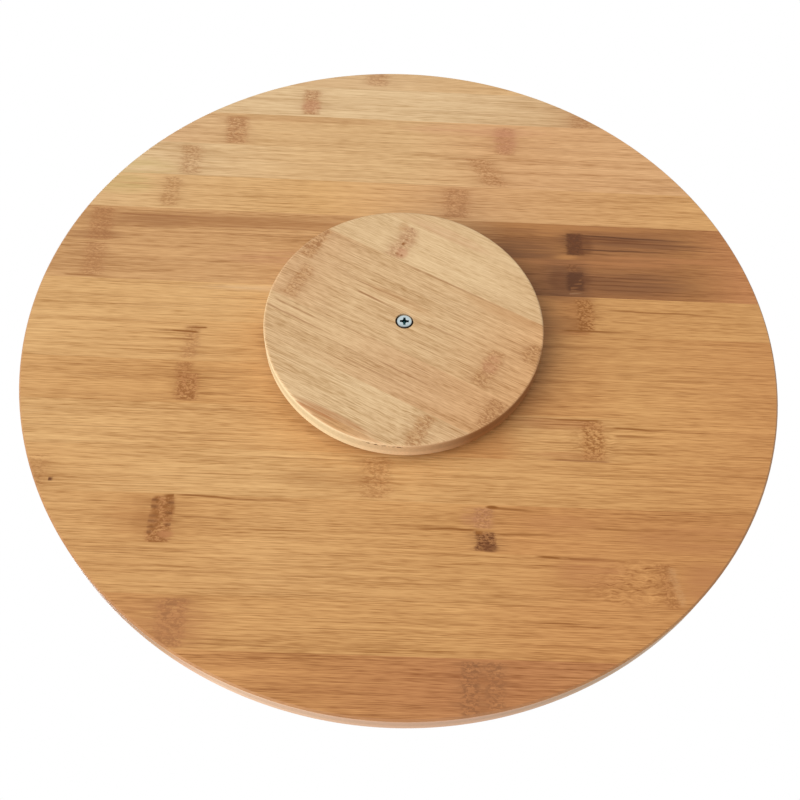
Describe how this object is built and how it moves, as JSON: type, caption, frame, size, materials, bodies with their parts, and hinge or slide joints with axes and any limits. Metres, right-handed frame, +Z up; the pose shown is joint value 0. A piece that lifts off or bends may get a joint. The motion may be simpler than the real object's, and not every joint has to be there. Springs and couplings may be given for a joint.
{
  "type": "lazy susan turntable",
  "caption": "Round bamboo tray that spins on a smaller round base, for passing dishes or spices at a table, on a caged ball ring held together by a central pivot screw.",
  "frame": {"origin": "centre of the base's underside, where the turntable stands on a table", "axes": "+Z up along the pivot, tray on top; +X along the grain of the tray's strips; the first strip of the tray is at +Y"},
  "size_m": [0.4, 0.4, 0.032],
  "materials": {
    "bamboo_pale": "oiled",
    "bamboo_golden": "oiled",
    "bamboo_warm": "oiled",
    "bamboo_brown": "oiled",
    "bamboo_light": "oiled",
    "track_steel": "pressed",
    "ball_steel": "polished",
    "cage_plastic": "moulded",
    "screw_zinc": "zinc plated",
    "sleeve_steel": "turned",
    "bush_nylon": "moulded",
    "insert_brass": "turned"
  },
  "bodies": {
    "base": {"base_strip_1": "bamboo_light", "base_strip_2": "bamboo_light", "base_strip_3": "bamboo_light", "base_strip_4": "bamboo_light", "base_strip_5": "bamboo_light", "base_strip_6": "bamboo_light", "base_strip_7": "bamboo_warm", "lower_race": "track_steel", "pivot_bush": "bush_nylon"},
    "tray": {"tray_strip_01": "bamboo_pale", "tray_strip_02": "bamboo_pale", "tray_strip_03": "bamboo_pale", "tray_strip_04": "bamboo_pale", "tray_strip_05": "bamboo_pale", "tray_strip_06": "bamboo_brown", "tray_strip_07": "bamboo_brown", "tray_strip_08": "bamboo_golden", "tray_strip_09": "bamboo_golden", "tray_strip_10": "bamboo_golden", "tray_strip_11": "bamboo_golden", "tray_strip_12": "bamboo_golden", "tray_strip_13": "bamboo_warm", "tray_strip_14": "bamboo_warm", "tray_strip_15": "bamboo_warm", "tray_strip_16": "bamboo_warm", "upper_race": "track_steel", "thread_insert": "insert_brass", "pivot_sleeve": "sleeve_steel", "screw_washer": "screw_zinc", "pivot_screw": "screw_zinc"},
    "cage": {"ball_cage": "cage_plastic", "bearing_balls": "ball_steel"}
  },
  "joints": [
    {"name": "tray_spin", "type": "hinge", "parent": "base", "child": "tray", "pos_m": [0, 0, 0.017], "axis": [0, 0, 1], "continuous": true},
    {"name": "cage_spin", "type": "hinge", "parent": "base", "child": "cage", "pos_m": [0, 0, 0.014], "axis": [0, 0, 1], "continuous": true}
  ],
  "couplings": [
    {"joint": "cage_spin", "follows": "tray_spin", "ratio": 0.5}
  ]
}
